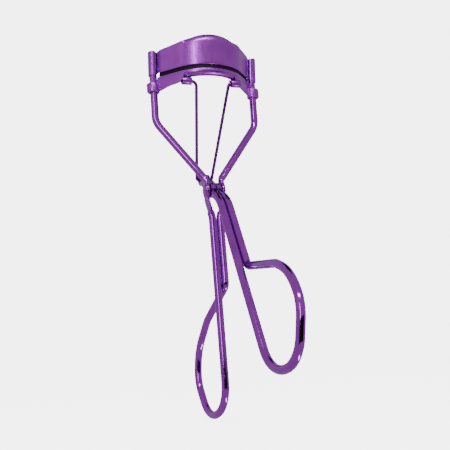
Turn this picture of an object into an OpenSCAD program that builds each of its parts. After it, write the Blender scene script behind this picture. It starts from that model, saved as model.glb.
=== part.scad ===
// Eyelash curler: a bent wire frame with a fixed upper jaw, a sliding lower jaw with a soft pad,
// and a wire lever that works the lower jaw through a thin link wire.
// X runs along the lash line, -Y is the side that faces away from the wearer, +Z runs up the posts.
// The origin lies midway between the two posts, in the plane where the jaws meet.

/* [Wire] */
// Diameter of the frame and lever wire
wire_d = 2.3; // [2.0:0.05:2.6]
// Diameter of the thin link wire
link_d = 0.9; // [0.7:0.05:1.1]
// Gap between the two strands of a handle
strand_gap = 0.12; // [0.08:0.02:0.2]

/* [Frame] */
// Half the distance between the two posts
post_x = 16.2; // [15.5:0.1:18]
// Height of a post's top above the closing plane
post_top = 6.5; // [6.3:0.1:8]
// Depth of the bend from post to arm below the closing plane
arm_bend_z = 15.3; // [14.5:0.1:18]
// Inside radius of the post bend, at the wire's middle
arm_bend_r = 5.7; // [4:0.1:7]

/* [Hinge] */
// Distance of the hinge in front of the posts
hinge_front = 3.4; // [3:0.1:4]
// Depth of the hinge below the closing plane
hinge_drop = 37; // [36:0.5:40]
// Thickness of a frame leg where it is pressed flat
leg_flat = 1.1; // [0.9:0.05:1.2]
// Thickness of a lever strand where it is pressed flat
lever_flat = 1.6; // [1.4:0.05:1.65]
// Diameter of the rivet's shank
rivet_d = 1.8; // [1.5:0.1:2]

/* [Lever] */
// Reach of the lever's tip behind the hinge
tip_reach = 9.2; // [8.8:0.1:9.5]
// Rise of the lever's tip above the hinge with the jaws closed
tip_rise = 5.2; // [5:0.1:5.5]
// Angle of the front handle away from straight down
front_tilt = 30.2; // [28:0.1:34]
// Offset of the front handle's line from the hinge
front_offset = 4.5; // [4:0.1:5]

/* [Finger loops] */
// Distance from the hinge to the front loop's shoulder
shoulder_u = 31.3; // [30:0.1:33]
// How much nearer the hinge the rear loop's shoulder is
rear_rise = 2.3; // [0:0.1:3]
// Length of a loop from its shoulder to its lowest corner
loop_len = 36.2; // [34:0.1:38]
// Width of a loop's corner outline
loop_w = 20.6; // [19:0.1:22]
// Angle of the rear handle away from straight down, towards the front
rear_tilt = 2.3; // [1:0.1:3]
// Sideways lean of the rear loop, to the left
rear_lean = 9; // [5:0.5:10]
// Sideways lean of the front loop, to the right
front_lean = 3.5; // [0:0.5:5]

/* [Jaws] */
// Radius of the jaws' curved middle, at their front face
jaw_r = 13.5; // [13:0.1:14]
// Distance of the jaws' front face in front of the posts
jaw_front = 10.9; // [10.5:0.1:11.4]
// Half the angle that the curved middle spans
jaw_half_angle = 48; // [46:1:50]
// Thickness of the upper jaw's sheet
plate_t = 0.6; // [0.5:0.05:0.7]
// Height of the upper jaw's upright face
plate_h = 7.0; // [6.5:0.1:7.2]
// Outer radius of the upper jaw's rolled top edge
roll_r = 2.6; // [2:0.1:3]
// Height of black pad that shows between the jaws
pad_show = 1.2; // [1:0.05:1.4]

/* [Hidden] */
$fn = 64;

EPS = 0.01;
half_d = wire_d / 2;
strand_x = half_d + strand_gap / 2;      // middle of each strand of a handle
lever_x = (lever_flat + strand_gap) / 2; // middle of each flattened lever strand
washer_t = 0.15;
hinge_play = 0.05;                       // free space on each side of a washer
leg_x = lever_x + lever_flat / 2 + washer_t + 2 * hinge_play + leg_flat / 2;
hinge_y = -hinge_front;
hinge_z = -hinge_drop;
tip_y = hinge_y + tip_reach;
tip_z = hinge_z + tip_rise;
jaw_cy = jaw_r - jaw_front;              // middle of the jaws' curve

// --- bent wire -------------------------------------------------------------------------------
// A wire of round section along straight runs joined by circular bends, all of true surfaces.

function unit(v) = v / norm(v);
// Angle by which the route turns at point i
function turn(p, i) = 180 - acos(max(-1, min(1, unit(p[i - 1] - p[i]) * unit(p[i + 1] - p[i]))));
// Length of straight run that the bend at point i takes up
function setback(p, r, i) = i == 0 || i == len(p) - 1 ? 0 : r[i] * tan(turn(p, i) / 2);
function any_normal(v) = unit(cross(v, abs(v[0]) > 0.9 ? [0, 1, 0] : [1, 0, 0]));

// Places its child, which is drawn on +Z at the origin, at point o along direction e3
module aim(o, e1, e2, e3) {
    multmatrix([[e1[0], e2[0], e3[0], o[0]],
                [e1[1], e2[1], e3[1], o[1]],
                [e1[2], e2[2], e3[2], o[2]],
                [0, 0, 0, 1]])
        children();
}

module straight(a, b, d) {
    dir = unit(b - a);
    n = any_normal(dir);
    aim(a, n, cross(dir, n), dir)
        cylinder(d = d, h = norm(b - a));
}

module bend(p, r, i, d) {
    back = unit(p[i - 1] - p[i]);
    ahead = unit(p[i + 1] - p[i]);
    middle = p[i] + unit(back + ahead) * r[i] / cos(turn(p, i) / 2);
    e1 = unit(p[i] + back * setback(p, r, i) - middle);
    e3 = unit(cross(e1, -back));
    aim(middle, e1, cross(e3, e1), e3)
        rotate_extrude(angle = turn(p, i))
            translate([r[i], 0])
                circle(d = d);
}

// Each bend is a hair thinner than the straight runs, which lap a little way over its ends
bend_lap = 0.05;
bend_thin = 0.02;

module bent_wire(p, r, d) {
    $fn = 44;
    for (i = [0 : len(p) - 2]) {
        dir = unit(p[i + 1] - p[i]);
        from = i == 0 ? 0 : setback(p, r, i) - bend_lap;
        to = i == len(p) - 2 ? 0 : setback(p, r, i + 1) - bend_lap;
        straight(p[i] + dir * from, p[i + 1] - dir * to, d);
    }
    for (i = [1 : len(p) - 2])
        bend(p, r, i, d - bend_thin);
}

// --- handles ---------------------------------------------------------------------------------
// A handle's own outline: distance down from the hinge, distance outwards and place across.

loop_radii = [2.6, 8.5, 15.5, 10, 8.2, 9.6];
rear_corner = [0.19, 0.629];                    // a loop's first corner, in shares of its length and width
front_corner = [0.27, 0.7];
function loop_outline(start, rise, corner) = [
    [start - rise, 0, strand_x],
    [start + corner[0] * loop_len, corner[1] * loop_w, 0.75 * strand_x],
    [start + 0.437 * loop_len, 0.961 * loop_w, 0.45 * strand_x],
    [start + 0.696 * loop_len, loop_w, 0.1 * strand_x],
    [start + loop_len, 0.627 * loop_w, -0.5 * strand_x],
    [start + 0.884 * loop_len, 0, -strand_x]];

// Rear handle: outwards is +Y
function rear(q) = [
    q[2] - sin(rear_lean) * q[1],
    hinge_y + 0.3 - sin(rear_tilt) * q[0] + cos(rear_tilt) * q[1],
    hinge_z - cos(rear_tilt) * q[0] - sin(rear_tilt) * q[1]];

// Front handle: outwards is -Y
function front(q) = [
    q[2] + sin(front_lean) * q[1],
    hinge_y - sin(front_tilt) * q[0] - cos(front_tilt) * (front_offset + q[1]),
    hinge_z - cos(front_tilt) * q[0] + sin(front_tilt) * (front_offset + q[1])];

// --- frame -----------------------------------------------------------------------------------

leg_top = [hinge_y + 0.4, hinge_z + 3.4];     // where an arm turns down into its leg
leg_low = [hinge_y, hinge_z - 3.2];           // where a leg starts to close in on the other
strand_top = 8.4;                             // distance below the hinge where the strands run parallel
flat_half = 2.6;                              // half the height of a leg's flattened stretch
leg_w = 2.9;                                  // width of a flattened leg
leg_eye_d = 4.8;

function post_route(side) = [
    [side * post_x, 0, post_top - 0.3],
    [side * post_x, 0, -arm_bend_z],
    [side * leg_x, leg_top[0], leg_top[1]],
    [side * leg_x, leg_low[0], leg_low[1]]];
post_radii = [0, arm_bend_r, 3];

function frame_route() = concat(
    post_route(1),
    [rear([strand_top, 0, strand_x])],
    [for (q = loop_outline(shoulder_u, rear_rise, rear_corner)) rear(q)],
    [rear([strand_top, 0, -strand_x])],
    [for (i = [3 : -1 : 0]) post_route(-1)[i]]);
frame_radii = concat(post_radii, [4, 4], loop_radii, [4, 4], [3, arm_bend_r, 0]);

// Flat leg with its eye, lying against x = 0 and growing towards +X
module leg_plate() {
    rotate([90, 0, 90])
        linear_extrude(leg_flat) {
            translate([hinge_y - leg_w / 2, hinge_z - flat_half])
                square([leg_w, 2 * flat_half]);
            translate([hinge_y, hinge_z])
                circle(d = leg_eye_d);
        }
}

module frame_wire() {
    color("#6f3f97")
        difference() {
            union() {
                difference() {
                    bent_wire(frame_route(), frame_radii, wire_d);
                    translate([-2 * leg_x, hinge_y - wire_d, hinge_z - flat_half])
                        cube([4 * leg_x, 2 * wire_d, 2 * flat_half]);
                }
                for (side = [-1, 1])
                    translate([side * leg_x - leg_flat / 2, 0, 0])
                        leg_plate();
                for (side = [-1, 1])
                    translate([side * post_x, 0, post_top - 0.3])
                        cylinder(d1 = wire_d, d2 = wire_d - 0.7, h = 0.3);
            }
            translate([-2 * leg_x, hinge_y, hinge_z])
                rotate([0, 90, 0])
                    cylinder(d = rivet_d, h = 4 * leg_x);
        }
}

// --- upper jaw -------------------------------------------------------------------------------

sleeve_d = wire_d + 0.6;
sleeve_h = 6.1;
// Length of a jaw's straight wing, from the end of the curve to the post
wing_len = (post_x - jaw_r * sin(jaw_half_angle)) / cos(jaw_half_angle) - half_d;
flange_back = 3.3;                                 // depth of the rolled edge at the middle

// Turns a profile drawn as (radius, height) through the jaws' curved middle
module sweep_jaw(half_angle = jaw_half_angle) {
    translate([0, jaw_cy, 0])
        rotate([0, 0, -90 - half_angle])
            rotate_extrude(angle = 2 * half_angle)
                children();
}

// A wing's sheet is a hair thinner than the curved middle's, which it laps a little way
wing_lap = 0.05;
wing_thin = 0.01;

// Runs a profile on along one wing
module sweep_wing(side, length = wing_len) {
    outwards = [side * sin(jaw_half_angle), -cos(jaw_half_angle), 0];
    aim([0, jaw_cy, 0], outwards, [0, 0, 1], cross(outwards, [0, 0, 1]))
        translate([0, 0, side > 0 ? -length : -wing_lap])
            linear_extrude(length + wing_lap)
                children();
}

module upper_jaw() {
    color("#8450a8")
        difference() {
            union() {
                sweep_jaw()
                    translate([jaw_r - plate_t, 0])
                        square([plate_t, plate_h]);
                difference() {
                    sweep_jaw() {
                        translate([jaw_r - roll_r, plate_h])
                            intersection() {
                                difference() {
                                    circle(r = roll_r);
                                    circle(r = roll_r - plate_t);
                                }
                                square(roll_r);
                            }
                        translate([jaw_r - roll_r - 2, plate_h + roll_r - plate_t])
                            square([2, plate_t]);
                    }
                    translate([-post_x, flange_back - jaw_front, plate_h])
                        cube([2 * post_x, jaw_r, 2 * roll_r]);
                }
                for (side = [-1, 1]) {
                    sweep_wing(side)
                        translate([jaw_r - plate_t + wing_thin, wing_thin])
                            square([plate_t - 2 * wing_thin, plate_h - 2 * wing_thin]);
                    translate([side * post_x, 0, 0])
                        cylinder(d = sleeve_d, h = sleeve_h);
                }
            }
            for (side = [-1, 1])
                translate([side * post_x, 0, -1])
                    cylinder(d = wire_d, h = plate_h + 2);
        }
}

// --- hinge -----------------------------------------------------------------------------------

rivet_head_d = 3.6;
rivet_peen_d = 2.7;
rivet_head_t = 0.5;
leg_out = leg_x + leg_flat / 2;

module along_x(x) {
    translate([x, hinge_y, hinge_z])
        rotate([0, 90, 0])
            children();
}

module hinge_rivet() {
    color("#7a489e") {
        along_x(-leg_out)
            cylinder(d = rivet_d, h = 2 * leg_out);
        along_x(-leg_out - rivet_head_t)
            cylinder(d1 = rivet_head_d - 0.7, d2 = rivet_head_d, h = rivet_head_t);
        along_x(leg_out)
            cylinder(d1 = rivet_peen_d, d2 = rivet_peen_d - 0.8, h = rivet_head_t);
    }
}

module hinge_washer(side) {
    color("#4a2a6c")
        along_x(side * (lever_x + lever_flat / 2 + hinge_play + washer_t / 2) - washer_t / 2)
            difference() {
                cylinder(d = 3.6, h = washer_t);
                translate([0, 0, -1])
                    cylinder(d = rivet_d + 0.1, h = 2 + washer_t);
            }
}
module hinge_washer_left() { hinge_washer(-1); }
module hinge_washer_right() { hinge_washer(1); }

// --- lever -----------------------------------------------------------------------------------

lever_w = 2.7;                                  // width of a flattened lever strand
lever_eye_d = 4.6;
tip_eye_d = 3.6;
tip_bore_d = 1.6;
lever_angle = atan2(tip_rise, tip_reach);
lever_past = 3.2;                               // flattened stretch that runs on past the hinge
elbow_u = 7.9;                                  // the front handle's line starts at this distance
lever_dir = [0, -cos(lever_angle), -sin(lever_angle)];

function lever_start(x) = [x, hinge_y, hinge_z] + lever_dir * (lever_past - EPS);

function lever_route() = concat(
    [lever_start(strand_x), front([elbow_u, 0, strand_x])],
    [for (q = loop_outline(shoulder_u + 0.2, 0, front_corner)) front(q)],
    [front([elbow_u, 0, -strand_x]), lever_start(-strand_x)]);
lever_radii = concat([0, 11], loop_radii, [11, 0]);

module lever_plate() {
    rotate([90, 0, 90])
        linear_extrude(lever_flat) {
            translate([hinge_y, hinge_z])
                rotate([0, 0, lever_angle])
                    translate([-lever_past, -lever_w / 2])
                        square([lever_past + norm([tip_reach, tip_rise]), lever_w]);
            translate([hinge_y, hinge_z])
                circle(d = lever_eye_d);
            translate([tip_y, tip_z])
                circle(d = tip_eye_d);
        }
}

module lever_wire() {
    color("#7a469f")
        difference() {
            union() {
                bent_wire(lever_route(), lever_radii, wire_d);
                for (side = [-1, 1])
                    translate([side * lever_x - lever_flat / 2, 0, 0])
                        lever_plate();
            }
            along_x(-5)
                cylinder(d = rivet_d + 0.1, h = 10);
            translate([-5, tip_y, tip_z])
                rotate([0, 90, 0])
                    cylinder(d = tip_bore_d, h = 10);
        }
}

// --- lower jaw -------------------------------------------------------------------------------

trough_r = 1.4;                                 // outer radius of the trough's round bottom
trough_t = 0.35;
trough_mid = jaw_r - trough_r;                  // radius of the trough's middle line
trough_floor = pad_show + 0.55;                 // depth at which the round bottom starts
ear_d = 3.9;
ear_bore_d = wire_d + 0.2;
ear_top = -3.1;
ear_h = 3.0;
skirt_t = 0.5;
skirt_start = 34;                               // angle along the curve where a skirt starts
knuckle_d = 2.2;
knuckle_len = 2.4;
knuckle_x = 6.4;                                // inner end of a knuckle
lug_y = -7.2;
lug_z = -4.4;

// Section of the trough as (radius, height), its mouth at the pad's foot
module trough_section(outer, inner) {
    difference() {
        union() {
            translate([trough_mid, -trough_floor])
                circle(r = outer);
            translate([trough_mid - outer, -trough_floor])
                square([2 * outer, trough_floor - pad_show]);
        }
        if (inner > 0) {
            translate([trough_mid, -trough_floor])
                circle(r = inner);
            translate([trough_mid - inner, -trough_floor])
                square([2 * inner, trough_floor]);
        }
        translate([0, -pad_show])
            square([2 * jaw_r, jaw_r]);
    }
}

module skirt(side) {
    intersection() {
        union() {
            translate([0, jaw_cy, 0])
                rotate([0, 0, side > 0 ? -90 + skirt_start : -90 - jaw_half_angle])
                    rotate_extrude(angle = jaw_half_angle - skirt_start)
                        translate([jaw_r - skirt_t, ear_top - ear_h])
                            square([skirt_t, ear_h + 0.7]);
            sweep_wing(side)
                translate([jaw_r - skirt_t + wing_thin, ear_top - ear_h])
                    square([skirt_t - 2 * wing_thin, ear_h + 0.7]);
        }
        rotate([90, 0, 0])
            linear_extrude(4 * jaw_r, center = true)
                polygon([[side * knuckle_x, 0],
                         [side * knuckle_x, ear_top - 1.2],
                         [side * post_x, ear_top - ear_h],
                         [side * post_x, 0]]);
    }
}

module lower_jaw() {
    color("#7d4aa2")
        difference() {
            union() {
                sweep_jaw()
                    trough_section(trough_r, trough_r - trough_t);
                for (side = [-1, 1]) {
                    sweep_wing(side, wing_len - 0.5)
                        trough_section(trough_r - wing_thin, trough_r - trough_t + wing_thin);
                    skirt(side);
                    translate([side * post_x, 0, ear_top - ear_h])
                        cylinder(d = ear_d, h = ear_h);
                    translate([side * (knuckle_x + knuckle_len / 2), lug_y, lug_z])
                        rotate([0, 90, 0])
                            cylinder(d = knuckle_d, h = knuckle_len, center = true);
                }
            }
            for (side = [-1, 1])
                translate([side * post_x, 0, -10])
                    cylinder(d = ear_bore_d, h = 20);
            translate([-12, lug_y, lug_z])
                rotate([0, 90, 0])
                    cylinder(d = link_d + 0.1, h = 24);
        }
}

module pad_section(pad_r) {
    translate([trough_mid, -trough_floor])
        circle(r = pad_r);
    translate([trough_mid - pad_r, -trough_floor])
        square([2 * pad_r, trough_floor - 0.04]);
}

module pad() {
    pad_r = trough_r - trough_t;
    color("#1b1030") {
        sweep_jaw()
            pad_section(pad_r);
        for (side = [-1, 1])
            sweep_wing(side, wing_len - 0.8)
                pad_section(pad_r - wing_thin);
    }
}

// --- link ------------------------------------------------------------------------------------

hook_end = 8.4;                                 // how far a hook's end reaches along its knuckle
hook_bend_r = [1.7, 0.8];                       // bend below the left and the right hook
rung_x = lever_x + lever_flat / 2 + 0.75;

function link_side(side, r) = [
    [side * hook_end, lug_y, lug_z],
    [side * (knuckle_x + 0.05 - r), lug_y, lug_z],
    [side * rung_x, tip_y, tip_z]];

module link_wire() {
    color("#3f2560")
        bent_wire(concat(link_side(-1, hook_bend_r[0]),
                         [for (i = [2 : -1 : 0]) link_side(1, hook_bend_r[1])[i]]),
                  [0, hook_bend_r[0], 0.8, 0.8, hook_bend_r[1], 0], link_d);
}

frame_wire();
upper_jaw();
hinge_rivet();
hinge_washer_left();
hinge_washer_right();
lever_wire();
lower_jaw();
pad();
link_wire();
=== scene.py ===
import math

import bpy
import numpy as np
from mathutils import Euler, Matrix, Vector

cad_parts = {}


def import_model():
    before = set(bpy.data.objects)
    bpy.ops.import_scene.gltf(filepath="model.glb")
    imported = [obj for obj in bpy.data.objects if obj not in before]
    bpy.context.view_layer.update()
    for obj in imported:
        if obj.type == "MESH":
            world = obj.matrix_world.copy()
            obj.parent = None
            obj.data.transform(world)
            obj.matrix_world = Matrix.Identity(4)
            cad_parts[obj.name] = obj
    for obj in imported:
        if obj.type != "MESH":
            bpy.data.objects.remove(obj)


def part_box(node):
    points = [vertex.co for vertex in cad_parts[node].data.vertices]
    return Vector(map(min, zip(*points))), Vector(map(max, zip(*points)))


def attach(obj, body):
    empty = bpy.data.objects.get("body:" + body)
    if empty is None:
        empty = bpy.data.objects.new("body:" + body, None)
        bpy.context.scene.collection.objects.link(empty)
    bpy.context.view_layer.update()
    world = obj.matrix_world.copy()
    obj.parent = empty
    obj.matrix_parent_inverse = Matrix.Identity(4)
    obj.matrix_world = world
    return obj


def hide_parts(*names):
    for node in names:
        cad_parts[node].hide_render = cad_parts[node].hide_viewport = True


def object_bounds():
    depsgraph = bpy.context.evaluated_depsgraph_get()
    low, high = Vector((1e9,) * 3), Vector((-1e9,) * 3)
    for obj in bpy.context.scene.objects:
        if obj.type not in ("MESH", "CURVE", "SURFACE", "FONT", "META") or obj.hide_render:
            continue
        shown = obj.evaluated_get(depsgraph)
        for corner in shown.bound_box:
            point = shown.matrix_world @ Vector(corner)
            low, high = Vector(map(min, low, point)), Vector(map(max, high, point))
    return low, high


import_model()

cad_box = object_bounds()

# Lengths are millimetres up to the moment a mesh is made, in the CAD model's own frame.
MM = 0.001
WIRE_R = 1.15                             # the two long wires
LINK_R = 0.5                              # the link wire
STRAND_X = 1.21                           # a handle's strands, from the middle plane
STRAND_FACE = 0.06                        # half the gap between the lever's pressed flats
LEG_X = 2.46                              # the frame's pressed legs, from the middle plane
LEG_HALF = 0.55                           # half the thickness of a pressed leg
LEVER_HALF = 0.8                          # half the thickness of a lever's flat
POST_X = 16.2                             # the posts, from the middle plane
SHANK_R = 0.9                             # the rivet's shank, and the legs' holes for it
TURN_R = 0.95                             # the holes that turn on the shank
TIP_HOLE_R = 0.8                          # the lever's holes for the link wire's rung
HINGE = np.array([0, -3.4, -37.0])
TIP = np.array([0, 5.8, -31.8])           # where the link wire's rung crosses the lever
LUG = np.array([0, -7.2, -4.4])           # where the link wire's hooks turn in the curled tabs
JAW_R = 13.5                              # the curved middle of the jaws, at their front face
JAW_CY = 2.6                              # that curve's centre, behind the posts
JAW_HALF = math.radians(48)               # how far round it goes each way before the straight wings
CHANNEL_R = 1.4                           # the outside of the lower jaw's folded channel
CHANNEL_Z = -1.75                         # where its walls turn into its round floor
REAR_TILT, REAR_LEAN = math.radians(2.3), math.radians(9)
FRONT_TILT, FRONT_LEAN = math.radians(30.2), math.radians(3.5)
FRONT_OFFSET = 4.5                        # the front strands' line, in front of the hinge
HEAD_LEAN = 0.14                          # how far the head leans forward for each unit of height
EDGE_ANGLE = 40                           # degrees: sharper edges aren't shaded smooth


# --- small geometry helpers ---------------------------------------------------------------------

def unit(v):
    """A vector of length one in the same direction."""
    return v / np.linalg.norm(v)


def lean(point):
    """The head's slight lean away from the wearer, which grows above the plane where the jaws meet."""
    rise = max(0.0, point[2])
    return np.array([point[0], point[1] - HEAD_LEAN * rise * rise / (rise + 1), point[2]])


def smooth(t):
    """A soft step from 0 to 1 as t goes from 0 to 1."""
    t = np.clip(t, 0, 1)
    return t * t * (3 - 2 * t)


def fades(distance, first, over):
    """1 up to the first distance, then a soft fall to 0 over the next stretch."""
    return 1 - smooth((distance - first) / over)


def run(a, b, step):
    """Points from a to b, both included, no further apart than step."""
    count = max(1, math.ceil(np.linalg.norm(b - a) / step))
    return [a + (b - a) * k / count for k in range(count + 1)]


def route(points, radii, step=1.2, turn_step=math.radians(5)):
    """The centreline of a bent wire: straight runs joined by circular bends."""
    points = [np.array(p, float) for p in points]
    made, last = [points[0]], points[0]
    for i in range(1, len(points) - 1):
        back, ahead = unit(points[i - 1] - points[i]), unit(points[i + 1] - points[i])
        turn = math.pi - math.acos(max(-1, min(1, back @ ahead)))
        reach = radii[i] * math.tan(turn / 2)
        start = points[i] + back * reach
        middle = points[i] + unit(back + ahead) * radii[i] / math.cos(turn / 2)
        e1 = unit(start - middle)
        made += run(last, start, step)[1:]
        count = max(2, math.ceil(turn / turn_step))
        for a in np.linspace(0, turn, count + 1)[1:]:
            made.append(middle + radii[i] * (math.cos(a) * e1 - math.sin(a) * back))
        last = points[i] + ahead * reach
    made += run(last, points[-1], step)[1:]
    return np.array(made)


def refine(line, centre, radius, step):
    """More points on the stretches of a line that pass near a place."""
    made = [line[0]]
    for a, b in zip(line[:-1], line[1:]):
        near = np.linalg.norm((a + b)[1:] / 2 - centre[1:]) < radius
        made += run(a, b, step)[1:] if near else [b]
    return np.array(made)


def make(name, verts, faces, material, body, sharp=EDGE_ANGLE):
    """A mesh from points in millimetres, smooth but for its sharp edges, riding on a body."""
    mesh = bpy.data.meshes.new(name)
    mesh.from_pydata([tuple(v) for v in np.asarray(verts) * MM], [], faces)
    mesh.validate()
    obj = bpy.data.objects.new(name, mesh)
    bpy.context.collection.objects.link(obj)
    mesh.materials.append(material)
    finish_mesh(obj, sharp)
    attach(obj, body)
    return obj


def finish_mesh(obj, sharp):
    """Smooth shading, but for edges sharper than an angle in degrees."""
    mesh = obj.data
    mesh.shade_smooth()
    mesh.set_sharp_from_angle(angle=math.radians(sharp))
    mesh.update()


def grid_faces(rows, sides):
    """Quads between rings of points, and a cap on each end ring."""
    faces = []
    for i in range(rows - 1):
        for j in range(sides):
            k = (j + 1) % sides
            faces.append((i * sides + j, i * sides + k, (i + 1) * sides + k, (i + 1) * sides + j))
    faces.append(tuple(range(sides - 1, -1, -1)))
    faces.append(tuple((rows - 1) * sides + j for j in range(sides)))
    return faces


def tube(line, half_x, half_w, power, sides=28):
    """Rings along a line. A ring is a superellipse, half_x wide across and half_w along the other way."""
    ahead = np.gradient(line, axis=0)
    ahead /= np.linalg.norm(ahead, axis=1)[:, None]
    across = np.array([1.0, 0, 0]) - ahead * ahead[:, :1]
    across /= np.linalg.norm(across, axis=1)[:, None]
    other = np.cross(ahead, across)
    angle = np.arange(sides) * 2 * math.pi / sides
    c, s = np.cos(angle), np.sin(angle)
    exponent = 2 / power[:, None]
    u = np.sign(c) * np.abs(c) ** exponent * half_x[:, None]
    v = np.sign(s) * np.abs(s) ** exponent * half_w[:, None]
    rings = line[:, None] + u[..., None] * across[:, None] + v[..., None] * other[:, None]
    return rings.reshape(-1, 3), grid_faces(len(line), sides)


def rounded_ends(line, radius, edge):
    """The line with extra points at both ends, and each point's share of the full radius there."""
    steps = np.linspace(0, math.pi / 2, 6)
    inset = edge * (1 - np.sin(steps))
    first, last = unit(line[1] - line[0]), unit(line[-2] - line[-1])
    start = [line[0] + first * edge * (1 - math.cos(a)) for a in steps]
    end = [line[-1] + last * edge * (1 - math.cos(a)) for a in steps]
    scale = 1 - inset / radius
    body = [p for p in line[1:-1]
            if np.linalg.norm(p - line[0]) > edge and np.linalg.norm(p - line[-1]) > edge]
    points = np.array(start + body + end[::-1])
    return points, np.concatenate([scale, np.ones(len(body)), scale[::-1]])


def thick(mid, thickness, cap=5):
    """A closed outline round a middle line of points (w, z), with round edges."""
    mid = np.asarray(mid, float)
    along = np.gradient(mid, axis=0)
    along /= np.linalg.norm(along, axis=1)[:, None] + 1e-12
    normal = np.stack([-along[:, 1], along[:, 0]], 1)
    half = thickness / 2
    one, other = mid + normal * half, (mid - normal * half)[::-1]
    turns = np.linspace(0, math.pi, cap + 2)[1:-1]
    end = [mid[-1] + half * (math.cos(a) * normal[-1] + math.sin(a) * along[-1]) for a in turns]
    start = [mid[0] + half * (-math.cos(a) * normal[0] - math.sin(a) * along[0]) for a in turns]
    return np.array([*one, *end, *other, *start])


def strip(places, inwards, outlines):
    """Sweeps outlines of points (w, z) along places, w measured inwards and z upwards."""
    rings = [np.array([[p[0] + n[0] * w, p[1] + n[1] * w, z] for w, z in outline])
             for p, n, outline in zip(places, inwards, outlines)]
    verts = np.concatenate(rings)
    return verts, grid_faces(len(rings), len(outlines[0]))


def lathe(profile, origin, axis, sides=56):
    """Turns a closed profile of points (along, radius) round an axis, X or Z, through origin."""
    verts = []
    for a in np.arange(sides) * 2 * math.pi / sides:
        for along, radius in profile:
            c, s = radius * math.cos(a), radius * math.sin(a)
            offset = (along, c, s) if axis == "x" else (c, s, along)
            verts.append(np.array(origin) + offset)
    count, faces = len(profile), []
    for i in range(sides):
        k = (i + 1) % sides
        for j in range(count):
            m = (j + 1) % count
            faces.append((i * count + j, i * count + m, k * count + m, k * count + j))
    return verts, faces


def ring_profile(inner, outer, low, high, edge, steps=4):
    """The section of a ring with rounded edges, as points (along, radius)."""
    corners = [(low + edge, inner + edge, 180), (high - edge, inner + edge, 270),
               (high - edge, outer - edge, 0), (low + edge, outer - edge, 90)]
    made = []
    for along, radius, start in corners:
        for a in np.radians(np.linspace(start, start + 90, steps + 1)):
            made.append((along + edge * math.cos(a), radius + edge * math.sin(a)))
    return made


def bore(obj, centre, radius):
    """Drills a hole along X through a piece."""
    sides, length = 48, 12
    ring = [(math.cos(2 * math.pi * k / sides), math.sin(2 * math.pi * k / sides))
            for k in range(sides)]
    verts = [(centre[0] + x, centre[1] + radius * c, centre[2] + radius * s)
             for x in (-length / 2, length / 2) for c, s in ring]
    mesh = bpy.data.meshes.new("drill")
    mesh.from_pydata([tuple(np.array(v) * MM) for v in verts], [], grid_faces(2, sides))
    drill = bpy.data.objects.new("drill", mesh)
    bpy.context.collection.objects.link(drill)
    cut = obj.modifiers.new("bore", "BOOLEAN")
    cut.operation, cut.solver, cut.object = "DIFFERENCE", "EXACT", drill
    bpy.context.view_layer.update()
    whole = obj.evaluated_get(bpy.context.evaluated_depsgraph_get())
    done = bpy.data.meshes.new_from_object(whole)
    obj.modifiers.clear()
    obj.data = done
    bpy.data.objects.remove(drill)
    finish_mesh(obj, EDGE_ANGLE)


# --- materials ----------------------------------------------------------------------------------

def nodes_of(name):
    """A new material, its node tree and its shader."""
    material = bpy.data.materials.new(name)
    material.use_nodes = True
    tree = material.node_tree
    shader = tree.nodes["Principled BSDF"]
    return material, tree, shader


def noise(tree, scale, detail=3.0, stretch=(1, 1, 1)):
    """A noise in the piece's own coordinates, at so many features a metre."""
    place = tree.nodes.new("ShaderNodeTexCoord")
    sized = tree.nodes.new("ShaderNodeMapping")
    sized.inputs["Scale"].default_value = stretch
    made = tree.nodes.new("ShaderNodeTexNoise")
    made.inputs["Scale"].default_value = scale
    made.inputs["Detail"].default_value = detail
    tree.links.new(place.outputs["Object"], sized.inputs["Vector"])
    tree.links.new(sized.outputs["Vector"], made.inputs["Vector"])
    return made.outputs["Fac"]


def ramp(tree, value, stops):
    """A colour that follows a value, from stops of (position, colour)."""
    made = tree.nodes.new("ShaderNodeValToRGB")
    made.color_ramp.elements[0].position, made.color_ramp.elements[0].color = stops[0]
    made.color_ramp.elements[1].position, made.color_ramp.elements[1].color = stops[-1]
    for position, colour in stops[1:-1]:
        made.color_ramp.elements.new(position).color = colour
    tree.links.new(value, made.inputs["Fac"])
    return made.outputs["Color"]


def ranged(tree, value, low, high, to_low, to_high):
    """A value taken from one range to another."""
    made = tree.nodes.new("ShaderNodeMapRange")
    for key, number in (("From Min", low), ("From Max", high), ("To Min", to_low), ("To Max", to_high)):
        made.inputs[key].default_value = number
    tree.links.new(value, made.inputs["Value"])
    return made.outputs["Result"]


def mixed(tree, factor, one, other):
    """A colour between two others."""
    made = tree.nodes.new("ShaderNodeMix")
    made.data_type = "RGBA"
    tree.links.new(factor, made.inputs["Factor"])
    tree.links.new(one, made.inputs["A"])
    tree.links.new(other, made.inputs["B"])
    return made.outputs["Result"]


def bumped(tree, shader, layers):
    """Bump from several heights, each (height, strength, distance in metres)."""
    last = None
    for height, strength, distance in layers:
        made = tree.nodes.new("ShaderNodeBump")
        made.inputs["Strength"].default_value = strength
        made.inputs["Distance"].default_value = distance
        tree.links.new(height, made.inputs["Height"])
        if last:
            tree.links.new(last, made.inputs["Normal"])
        last = made.outputs["Normal"]
    tree.links.new(last, shader.inputs["Normal"])


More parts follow.
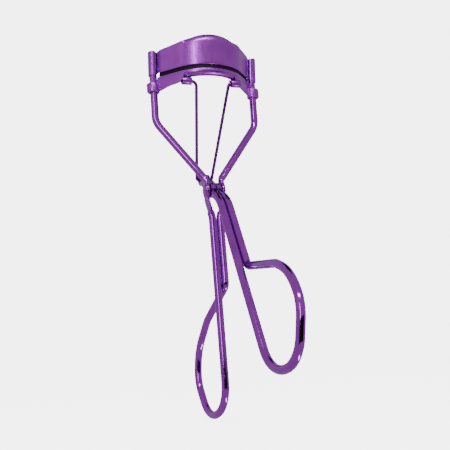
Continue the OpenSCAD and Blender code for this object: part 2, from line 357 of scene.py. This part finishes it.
def lacquer(name, dark, light, rough, grain=1.0, brush=(1, 1, 1)):
    """Tinted metallic lacquer: cloudy tone, fine flake, faint scratches and edges rubbed lighter."""
    material, tree, shader = nodes_of(name)
    shader.inputs["Metallic"].default_value = 1.0
    shader.inputs["Coat Weight"].default_value = 0.12
    shader.inputs["Coat Roughness"].default_value = 0.04
    shader.inputs["Coat IOR"].default_value = 1.5
    cloud = noise(tree, 260, 4)
    flake = noise(tree, 9000, 1)
    tone = ramp(tree, cloud, [(0.3, (*dark, 1)), (0.7, (*light, 1))])
    bright = tuple(min(1, c * 1.35 + 0.02) for c in light)
    spark = ramp(tree, flake, [(0.35, (*dark, 1)), (0.75, (*bright, 1))])
    speck = ranged(tree, flake, 0.45, 0.8, 0.05, 0.4)
    base = mixed(tree, speck, tone, spark)
    edge = tree.nodes.new("ShaderNodeNewGeometry").outputs["Pointiness"]
    worn = ranged(tree, edge, 0.53, 0.62, 0, 0.35)
    rubbed = ramp(tree, cloud, [(0.3, (*light, 1)), (0.7, (*bright, 1))])
    tree.links.new(mixed(tree, worn, base, rubbed), shader.inputs["Base Color"])
    scratch = noise(tree, 1400, 5, brush)
    gloss = ranged(tree, scratch, 0.3, 0.75, rough * 0.85, rough * 1.2)
    tree.links.new(gloss, shader.inputs["Roughness"])
    peel = noise(tree, 700, 2)
    bumped(tree, shader, [(peel, 0.02 * grain, 0.00004), (scratch, 0.015 * grain, 0.00001)])
    return material


def silicone(name):
    """Black silicone: matt, with a fine moulded grain and a trace of dust."""
    material, tree, shader = nodes_of(name)
    shader.inputs["Specular IOR Level"].default_value = 0.12
    cloud, grain = noise(tree, 500, 4), noise(tree, 6000, 2)
    tone = ramp(tree, cloud, [(0.3, (0.006, 0.003, 0.011, 1)), (0.75, (0.016, 0.009, 0.026, 1))])
    tree.links.new(tone, shader.inputs["Base Color"])
    tree.links.new(ranged(tree, grain, 0.3, 0.7, 0.42, 0.6), shader.inputs["Roughness"])
    bumped(tree, shader, [(grain, 0.2, 0.00004), (cloud, 0.1, 0.0002)])
    return material


WIRE = lacquer("violet_lacquer_wire", (0.36, 0.050, 0.53), (0.46, 0.072, 0.65), 0.11, grain=0.25)
PLATE = lacquer("violet_lacquer_plate", (0.38, 0.058, 0.54), (0.47, 0.078, 0.65), 0.30,
                brush=(1, 1, 0.15))
RIVET = lacquer("violet_lacquer_rivet", (0.38, 0.06, 0.54), (0.48, 0.09, 0.66), 0.20)
# The washers' dark tone is painted shade for the narrow gap between the pressed legs and the lever; the
# washers themselves are real parts.
WASHER_SHADE = lacquer("violet_lacquer_painted_shade", (0.08, 0.014, 0.15), (0.14, 0.030, 0.22), 0.26)
LINK = lacquer("dark_violet_wire", (0.19, 0.032, 0.29), (0.28, 0.052, 0.40), 0.22, grain=0.25)
PAD = silicone("black_silicone")


# --- handles ------------------------------------------------------------------------------------

LOOP_RADII = [2.6, 8.5, 15.5, 10, 8.2, 9.6]


def loop_outline(start, rise, corner):
    """A loop's corners (down, out, across). The shoulder's rise is up the strand from the start."""
    length, width = 36.2, 20.6
    return [(start - rise, 0, STRAND_X),
            (start + corner[0] * length, corner[1] * width, 0.75 * STRAND_X),
            (start + 0.437 * length, 0.961 * width, 0.45 * STRAND_X),
            (start + 0.696 * length, width, 0.1 * STRAND_X),
            (start + length, 0.627 * width, -0.5 * STRAND_X),
            (start + 0.884 * length, 0, -STRAND_X)]


def rear(q):
    """A point of the rear handle, from its distance down from the hinge, outwards and across."""
    down, out, across = q
    return (across - math.sin(REAR_LEAN) * out,
            HINGE[1] + 0.3 - math.sin(REAR_TILT) * down + math.cos(REAR_TILT) * out,
            HINGE[2] - math.cos(REAR_TILT) * down - math.sin(REAR_TILT) * out)


def front(q):
    """The same for the front handle."""
    down, out, across = q
    return (across + math.sin(FRONT_LEAN) * out,
            HINGE[1] - math.sin(FRONT_TILT) * down - math.cos(FRONT_TILT) * (FRONT_OFFSET + out),
            HINGE[2] - math.cos(FRONT_TILT) * down + math.sin(FRONT_TILT) * (FRONT_OFFSET + out))


def eye_width(distance, radius):
    """Half the width of a round eye at a distance from its middle."""
    return np.sqrt(np.clip(radius ** 2 - distance ** 2, 0, None))


def merged(one, other):
    """The larger of two half widths, with a soft change from one to the other."""
    return (one ** 6 + other ** 6) ** (1 / 6)


def frame_wire():
    """One wire: post, arm, pressed leg, strand, loop and back up the other side."""
    post_top, arm_low, leg_high, leg_low, strand_top = 6.8, -15.3, -33.6, -40.2, 8.4
    arm_r, leg_r, strand_r = 5.7, 3, 4
    pressed_w, boss_r = 1.45, 2.4
    side = [(POST_X, 0, post_top), (POST_X, 0, arm_low),
            (LEG_X, HINGE[1] + 0.4, leg_high), (LEG_X, HINGE[1], leg_low)]
    corners = [rear(q) for q in loop_outline(31.3, 2.3, (0.19, 0.629))]
    points = [*side, rear((strand_top, 0, STRAND_X)), *corners, rear((strand_top, 0, -STRAND_X)),
              *[(-x, y, z) for x, y, z in side[::-1]]]
    radii = [0, arm_r, leg_r, strand_r, strand_r, *LOOP_RADII, strand_r, strand_r, leg_r, arm_r, 0]
    line, scale = rounded_ends(refine(route(points, radii), HINGE, 9, 0.2), WIRE_R, 0.35)
    distance = np.linalg.norm(line[:, 1:] - HINGE[1:], axis=1)
    below = line[:, 2] < HINGE[2]
    flat = np.where(below, fades(distance, 6.2, 0.9), fades(distance, 2.5, 1.6))
    half_x = (WIRE_R + (LEG_HALF - WIRE_R) * flat) * scale
    half_w = (WIRE_R + (pressed_w - WIRE_R) * flat) * scale
    half_w = merged(half_w, eye_width(distance, boss_r))
    verts, faces = tube(line, half_x, half_w, 2 + 3.5 * flat)
    verts = [lean(v) for v in verts]
    piece = make("frame_wire_drawn", verts, faces, WIRE, "frame")
    bore(piece, HINGE, SHANK_R)
    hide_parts("frame_wire")


def lever_wire():
    """One wire: pressed tip eye, pressed eye at the hinge, strand, loop and back beside itself."""
    eye_r, boss_r, pressed_w = 1.8, 2.3, 1.35
    elbow, elbow_r = 7.9, 11
    up = unit(TIP - HINGE)
    end = TIP + up * eye_r
    corners = [front(q) for q in loop_outline(31.5, 0, (0.27, 0.7))]
    points = [(STRAND_X, *end[1:]), front((elbow, 0, STRAND_X)), *corners,
              front((elbow, 0, -STRAND_X)), (-STRAND_X, *end[1:])]
    line = route(points, [0, elbow_r, *LOOP_RADII, elbow_r, 0])
    line = refine(refine(line, HINGE, 7, 0.2), TIP, 4, 0.15)
    first = end + np.array([STRAND_X, 0, 0])
    close = eye_r * (1 - np.cos(np.linspace(0.12, 1.2, 9)))
    ends = [first - up * d for d in close]
    inner = [p for p in line if np.linalg.norm(p[1:] - end[1:]) > close[-1] + 0.05]
    line = np.array(ends + inner + [np.array([-p[0], p[1], p[2]]) for p in ends[::-1]])
    u = (line - HINGE) @ up
    off = np.linalg.norm((line - HINGE)[:, 1:] - u[:, None] * up[1:], axis=1)
    on_lever = (off < 0.6) & (u > -6)
    to_hinge = np.linalg.norm((line - HINGE)[:, 1:], axis=1)
    to_tip = np.linalg.norm((line - TIP)[:, 1:], axis=1)
    flat = np.where(on_lever | (u > -3), fades(-u, 2.6, 2.4), fades(to_hinge, 2.6, 2.4))
    half_x = WIRE_R + (LEVER_HALF - WIRE_R) * flat
    half_w = WIRE_R + (pressed_w - WIRE_R) * flat
    beyond = u > np.linalg.norm(TIP - HINGE)
    half_w = np.where(beyond, 0.05, half_w)
    half_w = merged(half_w, np.maximum(eye_width(to_hinge, boss_r), eye_width(to_tip, eye_r)))
    near = np.abs(line[:, 0]) > STRAND_X - 0.02
    line[:, 0] = np.where(near & (flat > 0), np.sign(line[:, 0]) * (STRAND_FACE + half_x), line[:, 0])
    verts, faces = tube(line, half_x, half_w, 2 + 3.5 * flat)
    piece = make("lever_wire_drawn", verts, faces, WIRE, "lever")
    bore(piece, HINGE, TURN_R)
    bore(piece, TIP, TIP_HOLE_R)
    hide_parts("lever_wire")


# --- jaws ---------------------------------------------------------------------------------------

def jaw_side(wing, arc_steps=34, wing_step=0.45):
    """The right half of the jaws' front line, from the middle outwards, and its inward normals."""
    angles = np.linspace(0, JAW_HALF, arc_steps)
    places = [np.array([JAW_R * math.sin(a), JAW_CY - JAW_R * math.cos(a)]) for a in angles]
    inwards = [np.array([-math.sin(a), math.cos(a)]) for a in angles]
    heading = np.array([math.cos(JAW_HALF), math.sin(JAW_HALF)])
    for p in run(places[-1], places[-1] + heading * wing, wing_step)[1:]:
        places.append(p)
        inwards.append(inwards[-1])
    return np.array(places), np.array(inwards)


WING = (POST_X - JAW_R * math.sin(JAW_HALF)) / math.cos(JAW_HALF) - WIRE_R


def mirrored(places, inwards):
    """Both halves, from left to right."""
    flip = np.array([-1, 1])
    return (np.concatenate([(places * flip)[:0:-1], places]),
            np.concatenate([(inwards * flip)[:0:-1], inwards]))


def wrapped_side(sheet, face_sheet):
    """As jaw_side along the sheet's middle, running on round the post as a thinner sleeve."""
    places, inwards = jaw_side(WING - 1.2)
    places = places + inwards * face_sheet / 2
    heading = np.array([math.cos(JAW_HALF), math.sin(JAW_HALF)])
    outward = np.array([heading[1], -heading[0]])
    post = np.array([POST_X, 0.0])
    line_v = (places[-1] - post) @ outward
    round_r, blend_r = WIRE_R + 0.03 + sheet / 2, 1.0
    centre_u = -math.sqrt((round_r + blend_r) ** 2 - (line_v - blend_r) ** 2)
    centre_v = line_v - blend_r
    meet = math.atan2(-centre_v, -centre_u)
    spots = [(centre_u + blend_r * math.cos(a), centre_v + blend_r * math.sin(a))
             for a in np.linspace(math.pi / 2, meet, 10)]
    spots += [(round_r * math.cos(a), round_r * math.sin(a))
              for a in np.linspace(meet + math.pi, meet + math.pi + math.radians(282), 48)[1:]]
    extra = [post + u * heading + v * outward for u, v in spots]
    kept = [p for p in places if (p - post) @ heading < centre_u - 0.1 or p[0] < 9]
    line = np.array(kept + extra)
    along = np.gradient(line, axis=0)
    along /= np.linalg.norm(along, axis=1)[:, None]
    return line, np.stack([-along[:, 1], along[:, 0]], 1)


def upper_jaw():
    """Pressed sheet: a curved upright face that rolls over at the top, with sleeves round the posts."""
    sheet, roll_r, steepest = 0.5, 2.55, math.radians(82)
    sleeve_top, sleeve_drop, wrap_sheet = 6.5, 0.9, 0.3
    chord, least_cosine = JAW_R - 3.3, 0.3
    sight_bend, sight_rise = math.radians(68.4), 0.396
    # How high the top looks along the camera's rising line of sight, at distances from the middle.
    apparent = np.array([[0, 8.75], [2, 8.70], [4, 8.53], [5.6, 8.28], [7, 7.98], [8.4, 7.66],
                         [10, 7.32], [12, 7.02], [14.4, 6.75], [20, 6.7]])
    places, inwards = mirrored(*wrapped_side(wrap_sheet, sheet))
    outlines = []
    for p in places:
        wrapped = smooth((abs(p[0]) - 14.0) / 0.9)
        x = min(abs(p[0]), 15.5)
        cosine = (JAW_CY - p[1]) / (JAW_R - sheet / 2) if abs(p[0]) < 10 else least_cosine
        cosine = max(least_cosine, cosine)
        reach = max(0.0, JAW_R - chord / cosine)
        bend = min(math.acos(max(-1, 1 - reach / roll_r)), steepest)
        flange = max(0.0, (reach - roll_r * (1 - math.cos(bend))) / max(math.sin(bend), 0.2))
        seen = min(bend, sight_bend)
        gain = roll_r * math.sin(seen) - roll_r * (1 - math.cos(seen)) * sight_rise
        height = np.interp(x, apparent[:, 0], apparent[:, 1])
        height += (sleeve_top - height) * wrapped
        start = height - gain
        low = sheet / 2 + 0.01 - sleeve_drop * smooth((abs(p[0]) - 14.95) / 0.5)
        upright = [(0, z) for z in np.linspace(low, start, 9)]
        turns = np.linspace(0, max(bend, 0.01), 12)[1:]
        arc = [(roll_r * (1 - math.cos(a)), start + roll_r * math.sin(a)) for a in turns]
        tail = (arc[-1][0] + flange * math.sin(bend) + 1e-4,
                arc[-1][1] + flange * math.cos(bend) + 0.02)
        outlines.append(thick([*upright, *arc, tail], sheet + (wrap_sheet - sheet) * wrapped))
    verts, faces = strip(places, inwards, outlines)
    verts = [lean(v) for v in verts]
    piece = make("upper_jaw_pressed", verts, faces, PLATE, "frame", sharp=50)
    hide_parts("upper_jaw")


def trough():
    """The lower jaw's folded channel, which holds the pad."""
    sheet, mouth = 0.35, -1.2
    mid = CHANNEL_R - sheet / 2
    outer = [(sheet / 2, z) for z in np.linspace(mouth - sheet / 2, CHANNEL_Z, 4)[:-1]]
    bottom = [(CHANNEL_R - mid * math.cos(a), CHANNEL_Z - mid * math.sin(a))
              for a in np.linspace(0, math.pi, 22)]
    inner = [(2 * CHANNEL_R - w, z) for w, z in outer[::-1]]
    outline = thick([*outer, *bottom, *inner], sheet)
    places, inwards = mirrored(*jaw_side(WING - 0.5))
    verts, faces = strip(places, inwards, [outline] * len(places))
    piece = make("lower_jaw_channel", verts, faces, PLATE, "lower_jaw", sharp=50)
    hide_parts("lower_jaw")


def skirt(side, name):
    """The channel's wall runs on downwards along a wing, to the ear on the post."""
    sheet = 0.42
    places, inwards = jaw_side(WING + 0.1, 68)
    if side < 0:
        reach = [8.6, 9.0, 9.7, 10.6, 12, 13.4, 15.2]
        depth = [-2.2, -3.6, -4.6, -4.85, -4.95, -5.35, -6.0]
    else:
        reach = [7.4, 7.8, 8.5, 9.4, 11.1, 13.5]
        depth = [-2.2, -3.9, -4.9, -5.5, -5.8, -6.05]
    keep = places[:, 0] > reach[0]
    places, inwards = places[keep], inwards[keep]
    outlines = []
    for p in places:
        low = np.interp(p[0], reach, depth)
        mid = [(sheet / 2, z) for z in np.linspace(CHANNEL_Z, low + sheet / 2, 8)]
        outlines.append(thick(mid, sheet))
    places, inwards = places * (side, 1), inwards * (side, 1)
    verts, faces = strip(places, inwards, outlines)
    make(name, verts, faces, PLATE, "lower_jaw", sharp=50)


def ear(side, name):
    """The short sleeve that slides on a post."""
    inner, outer, low, high, edge = 1.27, 1.8, -6.1, -3.15, 0.26
    bulge_out, bulge_z, bulge_half = 0.5, -4.62, 1.6
    profile = ring_profile(inner, outer, low, high, edge, 6)
    verts, faces = lathe(profile, (side * POST_X, 0, 0), "z")
    for v in verts:
        away = math.hypot(v[0] - side * POST_X, v[1])
        height = math.sqrt(max(0.0, 1 - ((v[2] - bulge_z) / bulge_half) ** 2))
        bulge = bulge_out * smooth((away - 1.4) / 0.3) * height
        v[0] += side * bulge * max(0.0, side * (v[0] - side * POST_X) / away)
    make(name, verts, faces, PLATE, "lower_jaw")


def curl(side, name):
    """A tab of the channel's sheet that curls round the end of the link wire."""
    sheet, mid_r, low_x, high_x = 0.4, 0.98, 6.3, 9.3
    middle = LUG[1:]
    start = np.array([-8.6, -2.9])
    away = start - middle
    far = np.linalg.norm(away)
    touch = math.atan2(away[1], away[0]) + math.acos(mid_r / far)
    first = middle + mid_r * np.array([math.cos(touch), math.sin(touch)])
    wrap = [middle + mid_r * np.array([math.cos(a), math.sin(a)])
            for a in np.linspace(touch, touch + math.radians(285), 36)]
    outline = thick([*run(start, first, 0.3)[:-1], *wrap], sheet)[::-1]
    outline[:, 0] = 2 * middle[0] - outline[:, 0]
    edge, edge_share = 0.06, 0.97
    verts, sides = [], len(outline)
    centre = outline.mean(0)
    for x, shrink in ((low_x, edge_share), (low_x + edge, 1), (high_x - edge, 1), (high_x, edge_share)):
        for y, z in centre + (outline - centre) * shrink:
            verts.append((side * x, y, z))
    make(name, verts, grid_faces(4, sides), PLATE, "lower_jaw", sharp=50)


def pad():
    """A silicone strip that sits in the channel and stands proud of it, with a soft crown."""
    radius, top, edge, taper = 1.03, -0.03, 0.1, 0.35
    half_crown = (0.86, 0.81, 0.76, 0.71, 0.66, 0.4)
    crown_w = [*half_crown, 0, *[-w for w in half_crown[::-1]]]
    places, inwards = mirrored(*jaw_side(WING - 0.8))
    lower = [(CHANNEL_R - radius * math.cos(a), CHANNEL_Z - radius * math.sin(a))
             for a in np.linspace(0, math.pi, 18)]
    right = [(CHANNEL_R + radius - edge + edge * math.cos(a), top - edge + edge * math.sin(a))
             for a in np.linspace(0, math.pi / 2, 5)]
    left = [(2 * CHANNEL_R - w, z) for w, z in right[::-1]]
    outlines = []
    travelled = np.concatenate([[0], np.cumsum(np.linalg.norm(np.diff(places, axis=0), axis=1))])
    for p, s in zip(places, travelled):
        rise = 0.45 + 0.45 * smooth((abs(p[0]) - 7) / 4)
        crown = [(CHANNEL_R + w, top + rise * smooth((0.87 - abs(w)) / 0.22)) for w in crown_w]
        outline = np.array([*lower, *right, *crown, *left])
        middle = outline.mean(0)
        inset = max(0.0, taper - min(s, travelled[-1] - s))
        share = 1 - 0.25 * (inset / taper) ** 2
        outlines.append(middle + (outline - middle) * share)
    verts, faces = strip(places, inwards, outlines)
    piece = make("silicone_pad", verts, faces, PAD, "lower_jaw", sharp=60)
    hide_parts("pad")


# --- hinge and link -----------------------------------------------------------------------------

def rivet():
    """A round head on the left, a shank and a peened end on the right."""
    out, first_turn = LEG_X + LEG_HALF, 0.08
    head_h, head_r, peen_h, peen_r = 0.5, 1.8, 0.48, 1.35
    head = [(-out - head_h * math.cos(a), head_r * math.sin(a))
            for a in np.linspace(first_turn, math.pi / 2, 9)]
    peen = [(out + peen_h * math.cos(a), peen_r * math.sin(a))
            for a in np.linspace(math.pi / 2, first_turn, 8)]
    profile = [*head, (-out, SHANK_R), (out, SHANK_R), *peen]
    verts, faces = lathe(profile, HINGE, "x")
    count = len(profile)
    faces = [f for i, f in enumerate(faces) if i % count != count - 1]
    sides = len(verts) // count
    faces.append(tuple(i * count for i in range(sides)))
    faces.append(tuple(i * count + count - 1 for i in range(sides - 1, -1, -1)))
    piece = make("rivet_turned", verts, faces, RIVET, "frame", sharp=45)
    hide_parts("hinge_rivet")


def washer(node):
    """A thin ring with rounded edges, as wide as the gap that its CAD node fills. Its dark colour is
    painted shade for that gap.
    """
    low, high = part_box(node)
    outer, edge = 1.8, 0.05
    profile = ring_profile(TURN_R, outer, low[0] / MM, high[0] / MM, edge, 3)
    verts, faces = lathe(profile, (0, HINGE[1], HINGE[2]), "x")
    piece = make(node + "_turned", verts, faces, WASHER_SHADE, "frame")
    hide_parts(node)


def link():
    """A thin wire bail: hooks in the curled tabs, legs, and a rung through the lever's tip eyes."""
    rung_x, knuckle_x, hook_x = LEVER_HALF * 2 + STRAND_FACE + 0.75, 6.45, 8.4
    hook_r, rung_r = (1.7, 0.8), 0.8
    left, right = [[(s * hook_x, LUG[1], LUG[2]), (s * (knuckle_x - r), LUG[1], LUG[2]),
                    (s * rung_x, TIP[1], TIP[2])] for s, r in zip((-1, 1), hook_r)]
    radii = [0, hook_r[0], rung_r, rung_r, hook_r[1], 0]
    line = route(left + right[::-1], radii, 0.8, math.radians(8))
    line, scale = rounded_ends(line, LINK_R, 0.15)
    ahead = np.gradient(line, axis=0)
    ahead /= np.linalg.norm(ahead, axis=1)[:, None]
    side_way = [np.array([0, 1.0, 0])]
    for t in ahead:
        side_way.append(unit(side_way[-1] - t * (side_way[-1] @ t)))
    sides, verts = 16, []
    for p, t, n, share in zip(line, ahead, side_way[1:], scale):
        other = np.cross(t, n)
        for a in np.arange(sides) * 2 * math.pi / sides:
            verts.append(p + LINK_R * share * (math.cos(a) * n + math.sin(a) * other))
    piece = make("link_wire_drawn", verts, grid_faces(len(line), sides), LINK, "link")
    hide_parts("link_wire")


frame_wire()
lever_wire()
upper_jaw()
trough()
for side, name in ((-1, "left"), (1, "right")):
    skirt(side, "lower_jaw_skirt_" + name)
    ear(side, "lower_jaw_ear_" + name)
    curl(side, "lower_jaw_curl_" + name)
    washer("hinge_washer_" + name)
pad()
rivet()
link()


# --- studio -------------------------------------------------------------------------------------

BACKGROUND_ONLY = ("diffuse", "glossy", "shadow")
REFLECTION_ONLY = ("camera", "diffuse", "shadow")
BACKGROUND_GLOW = 4.8


def glowing(name, strength):
    """A pale surface that glows almost evenly."""
    material, tree, shader = nodes_of(name)
    tone = ramp(tree, noise(tree, 3, 2), [(0.3, (0.97, 0.97, 0.97, 1)), (0.7, (1, 1, 1, 1))])
    tree.links.new(tone, shader.inputs["Base Color"])
    tree.links.new(tone, shader.inputs["Emission Color"])
    shader.inputs["Emission Strength"].default_value = strength
    shader.inputs["Roughness"].default_value = 0.9
    shader.inputs["Specular IOR Level"].default_value = 0.0
    return material


def staged(name, verts, faces, material, unseen):
    """A studio surface, hidden from the kinds of ray named in unseen."""
    mesh = bpy.data.meshes.new(name)
    mesh.from_pydata([tuple(np.array(v) * MM) for v in verts], [], faces)
    mesh.shade_smooth()
    obj = bpy.data.objects.new(name, mesh)
    bpy.context.collection.objects.link(obj)
    mesh.materials.append(material)
    for kind in unseen:
        setattr(obj, "visible_" + kind, False)


def pale_floor():
    """A plain pale round floor just under the loops."""
    low = cad_box[0][2] / MM - 0.3
    sides, radius = 96, 1500
    turns = [2 * math.pi * k / sides for k in range(sides)]
    verts = [(radius * math.cos(a), radius * math.sin(a), low) for a in turns]
    staged("floor", verts, [tuple(range(sides))], glowing("pale_floor", BACKGROUND_GLOW), BACKGROUND_ONLY)


def backdrop():
    """A plain pale wall all round, seen by the camera alone."""
    sides, rows, radius = 64, 24, 2500
    verts = []
    for t in np.linspace(0.02, math.pi - 0.02, rows):
        ring_r, height = radius * math.sin(t), radius * math.cos(t)
        verts += [(ring_r * math.cos(a), ring_r * math.sin(a), height)
                  for a in np.arange(sides) * 2 * math.pi / sides]
    wall = glowing("pale_wall", BACKGROUND_GLOW)
    staged("backdrop", verts, grid_faces(rows, sides), wall, BACKGROUND_ONLY)


def matt_black(name):
    """A surface that reflects almost nothing."""
    material, tree, shader = nodes_of(name)
    stops = [(0.3, (0.004, 0.004, 0.004, 1)), (0.7, (0.008, 0.008, 0.008, 1))]
    tone = ramp(tree, noise(tree, 20, 2), stops)
    tree.links.new(tone, shader.inputs["Base Color"])
    shader.inputs["Roughness"].default_value = 0.9
    shader.inputs["Specular IOR Level"].default_value = 0.0
    return material


def dark_band(name, first, last, low, high, radius=600):
    """A matt black band part of the way round the studio, seen only in reflections."""
    count = 40
    turns = np.radians(np.linspace(first, last, count))
    verts = [(radius * math.sin(a), -radius * math.cos(a), z) for z in (low, high) for a in turns]
    faces = [(i, i + 1, count + 1 + i, count + i) for i in range(count - 1)]
    staged(name, verts, faces, matt_black(name), REFLECTION_ONLY)


def dark_card(name, place, size):
    """A matt black card that faces the object and is seen only in its reflections."""
    object_middle = np.array([0, -10, -50.0])
    way = unit(np.array(place, float) - object_middle)
    across = unit(np.cross(way, [0, 0, 1]))
    up = np.cross(across, way)
    verts = [np.array(place) + across * u * size[0] / 2 + up * v * size[1] / 2
             for u, v in ((-1, -1), (1, -1), (1, 1), (-1, 1))]
    staged(name, verts, [(0, 1, 2, 3)], matt_black(name), REFLECTION_ONLY)


def soft_light(name, azimuth, elevation, distance, size, radiance, aim=(0, -10, -40)):
    """A rectangular softbox: degrees to the right of -Y and above level, millimetres."""
    a, e = math.radians(azimuth), math.radians(elevation)
    way = Vector((math.sin(a) * math.cos(e), -math.cos(a) * math.cos(e), math.sin(e)))
    data = bpy.data.lights.new(name, "AREA")
    data.shape, data.size, data.size_y = "RECTANGLE", size[0] * MM, size[1] * MM
    data.energy = radiance * math.pi * size[0] * size[1] * MM * MM
    lamp = bpy.data.objects.new(name, data)
    lamp.location = (Vector(aim) + way * distance) * MM
    lamp.rotation_euler = (-way).to_track_quat("-Z", "Y").to_euler()
    lamp.visible_camera = False
    bpy.context.collection.objects.link(lamp)


def world(strength):
    """Even white light from all round."""
    scene_world = bpy.data.worlds.new("studio")
    bpy.context.scene.world = scene_world
    scene_world.use_nodes = True
    back = scene_world.node_tree.nodes["Background"]
    back.inputs["Color"].default_value = (1, 1, 1, 1)
    back.inputs["Strength"].default_value = strength


def camera():
    """A view from the front, to the left and from below, with a slight roll."""
    data = bpy.data.cameras.new("camera")
    data.sensor_width, data.lens = 36, 52.64
    data.clip_start, data.clip_end = 0.005, 20
    eye = bpy.data.objects.new("camera", data)
    bpy.context.collection.objects.link(eye)
    eye.location = Vector((-63.6, -187.3, -76.9)) * MM
    eye.rotation_euler = Euler((1.7197, 0.06701, -0.33574))
    bpy.context.scene.camera = eye


pale_floor()
backdrop()
world(0.47)
soft_light("strip", -33, 9.5, 450, (46, 230), 9.5)
soft_light("left", -71, 19, 450, (150, 150), 0.4)
soft_light("overhead", -16, 42, 420, (290, 42), 20)
soft_light("under", 46, -64, 300, (120, 26), 14, aim=(0, -8, 0))
dark_band("low_band", -48, 45, -310, -75)
dark_card("zenith_card", (110, 130, 330), (220, 300))
camera()
